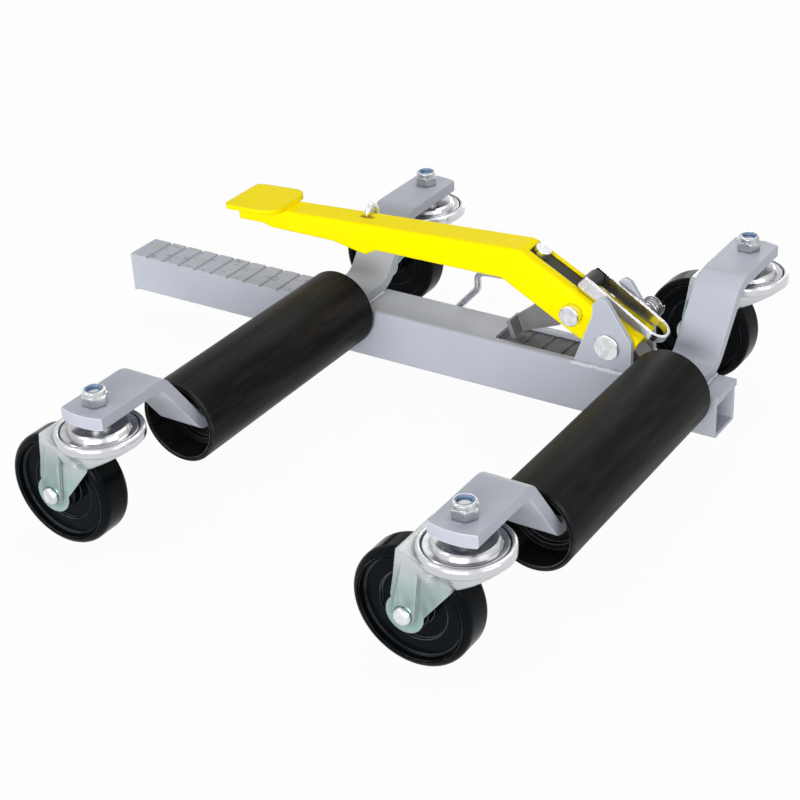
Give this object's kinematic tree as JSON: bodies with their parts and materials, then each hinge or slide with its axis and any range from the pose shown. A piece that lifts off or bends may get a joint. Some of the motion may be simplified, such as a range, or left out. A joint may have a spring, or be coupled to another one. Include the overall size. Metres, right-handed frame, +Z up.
{
  "type": "vehicle positioning jack",
  "caption": "Foot-pumped vehicle wheel dolly: a ratchet bar sliding in a square tube closes rollers under a tyre, carried on swivel casters.",
  "frame": {"origin": "on the floor, under the middle of the object's bounding box", "axes": "+X along the crossbar from the pedal pad to the ratchet bar's open end, +Y from the rollers' open ends to the crossbar, +Z up"},
  "size_m": [0.645, 0.57, 0.1667],
  "materials": {
    "frame_paint": "light grey powder coat",
    "bar_paint": "light grey coat, scuffed",
    "pedal_paint": "bright yellow gloss coat",
    "roller_paint": "black gloss coat",
    "wheel_plastic": "black moulded plastic",
    "zinc_plate": "bright zinc plate",
    "fork_zinc": "pressed steel, blue zinc plate",
    "dark_steel": "dark satin steel",
    "black_oxide": "black oxide",
    "axle_steel": "bare turned steel",
    "spring_steel": "oiled spring wire",
    "ring_nylon": "blue nylon"
  },
  "bodies": {
    "frame": {"outer_tube": "frame_paint", "left_rear_arm": "frame_paint", "left_front_arm": "frame_paint", "left_axle": "axle_steel", "ear_front": "frame_paint", "ear_rear": "frame_paint", "pivot_pin": "zinc_plate", "pivot_clip": "zinc_plate", "pivot_spacers": "zinc_plate", "spring_post": "zinc_plate", "return_spring": "spring_steel", "left_stems": "zinc_plate", "left_stem_nuts": "zinc_plate", "left_nylon_rings": "ring_nylon", "left_race_caps": "zinc_plate"},
    "slider": {"ratchet_tube": "bar_paint", "rack_plate": "bar_paint", "bar_end_cap": "bar_paint", "right_rear_arm": "frame_paint", "right_front_arm": "frame_paint", "right_axle": "axle_steel", "right_stems": "zinc_plate", "right_stem_nuts": "zinc_plate", "right_nylon_rings": "ring_nylon", "right_race_caps": "zinc_plate"},
    "left_roller": {"left_roller_tube": "roller_paint", "left_roller_hubs": "roller_paint", "left_hub_screw": "zinc_plate"},
    "right_roller": {"right_roller_tube": "roller_paint", "right_roller_hubs": "roller_paint", "right_hub_screw": "zinc_plate"},
    "pedal": {"pedal_channel": "pedal_paint", "pedal_pad": "pedal_paint", "pawl_pin": "zinc_plate", "release_bar": "black_oxide", "window_bolt": "zinc_plate", "yoke_pin": "zinc_plate", "pedal_clip": "zinc_plate"},
    "drive_pawl": {"drive_pawl": "dark_steel"},
    "holding_pawl": {"holding_pawl": "dark_steel"},
    "release_yoke": {"release_yoke": "zinc_plate"},
    "lock_hook": {"lock_hook": "zinc_plate"},
    "swivel_front_left": {"front_left_fork": "fork_zinc", "front_left_axle_rivet": "zinc_plate"},
    "wheel_front_left": {"front_left_wheel": "wheel_plastic", "front_left_hub_bush": "zinc_plate"},
    "swivel_front_right": {"front_right_fork": "fork_zinc", "front_right_axle_rivet": "zinc_plate"},
    "wheel_front_right": {"front_right_wheel": "wheel_plastic", "front_right_hub_bush": "zinc_plate"},
    "swivel_rear_left": {"rear_left_fork": "fork_zinc", "rear_left_axle_rivet": "zinc_plate"},
    "wheel_rear_left": {"rear_left_wheel": "wheel_plastic", "rear_left_hub_bush": "zinc_plate"},
    "swivel_rear_right": {"rear_right_fork": "fork_zinc", "rear_right_axle_rivet": "zinc_plate"},
    "wheel_rear_right": {"rear_right_wheel": "wheel_plastic", "rear_right_hub_bush": "zinc_plate"}
  },
  "joints": [
    {"name": "bar_slide", "type": "slide", "parent": "frame", "child": "slider", "axis": [1, 0, 0], "range_m": [0, 0.2]},
    {"name": "left_roller_spin", "type": "hinge", "parent": "frame", "child": "left_roller", "pos_m": [-0.0575, -0.0333, 0.0715], "axis": [0, 1, 0], "continuous": true},
    {"name": "right_roller_spin", "type": "hinge", "parent": "slider", "child": "right_roller", "pos_m": [0.2825, -0.0333, 0.0715], "axis": [0, 1, 0], "continuous": true},
    {"name": "pedal_lift", "type": "hinge", "parent": "frame", "child": "pedal", "pos_m": [0.2205, 0.1175, 0.095], "axis": [0, 1, 0], "range_deg": [0, 25]},
    {"name": "drive_pawl_swing", "type": "hinge", "parent": "pedal", "child": "drive_pawl", "pos_m": [0.18321, 0.1175, 0.11562], "axis": [0, 1, 0], "range_deg": [-38.5, 0]},
    {"name": "holding_pawl_swing", "type": "hinge", "parent": "frame", "child": "holding_pawl", "pos_m": [0.2205, 0.1175, 0.095], "axis": [0, 1, 0], "range_deg": [0, 15], "stiffness_Nm_per_rad": 0.5, "springref_deg": -17.19},
    {"name": "yoke_swing", "type": "hinge", "parent": "pedal", "child": "release_yoke", "pos_m": [0.19116, 0.121, 0.13982], "axis": [0, -1, 0], "range_deg": [0, 60]},
    {"name": "hook_swing", "type": "hinge", "parent": "pedal", "child": "lock_hook", "pos_m": [0.18321, 0.1475, 0.11562], "axis": [0, 1, 0], "range_deg": [-8, 25]},
    {"name": "front_left_swivel", "type": "hinge", "parent": "frame", "child": "swivel_front_left", "pos_m": [-0.0575, -0.248, 0.1105], "axis": [0, 0, 1], "continuous": true},
    {"name": "front_left_roll", "type": "hinge", "parent": "swivel_front_left", "child": "wheel_front_left", "pos_m": [-0.099, -0.248, 0.051], "axis": [0, 1, 0], "continuous": true},
    {"name": "front_right_swivel", "type": "hinge", "parent": "slider", "child": "swivel_front_right", "pos_m": [0.2825, -0.248, 0.1105], "axis": [0, 0, 1], "continuous": true},
    {"name": "front_right_roll", "type": "hinge", "parent": "swivel_front_right", "child": "wheel_front_right", "pos_m": [0.241, -0.248, 0.051], "axis": [0, 1, 0], "continuous": true},
    {"name": "rear_left_swivel", "type": "hinge", "parent": "frame", "child": "swivel_rear_left", "pos_m": [-0.0575, 0.248, 0.1105], "axis": [0, 0, 1], "continuous": true},
    {"name": "rear_left_roll", "type": "hinge", "parent": "swivel_rear_left", "child": "wheel_rear_left", "pos_m": [-0.099, 0.248, 0.051], "axis": [0, 1, 0], "continuous": true},
    {"name": "rear_right_swivel", "type": "hinge", "parent": "slider", "child": "swivel_rear_right", "pos_m": [0.2825, 0.248, 0.1105], "axis": [0, 0, 1], "continuous": true},
    {"name": "rear_right_roll", "type": "hinge", "parent": "swivel_rear_right", "child": "wheel_rear_right", "pos_m": [0.241, 0.248, 0.051], "axis": [0, 1, 0], "continuous": true}
  ],
  "couplings": [
    {"joint": "drive_pawl_swing", "follows": "pedal_lift", "ratio": -1.53}
  ]
}
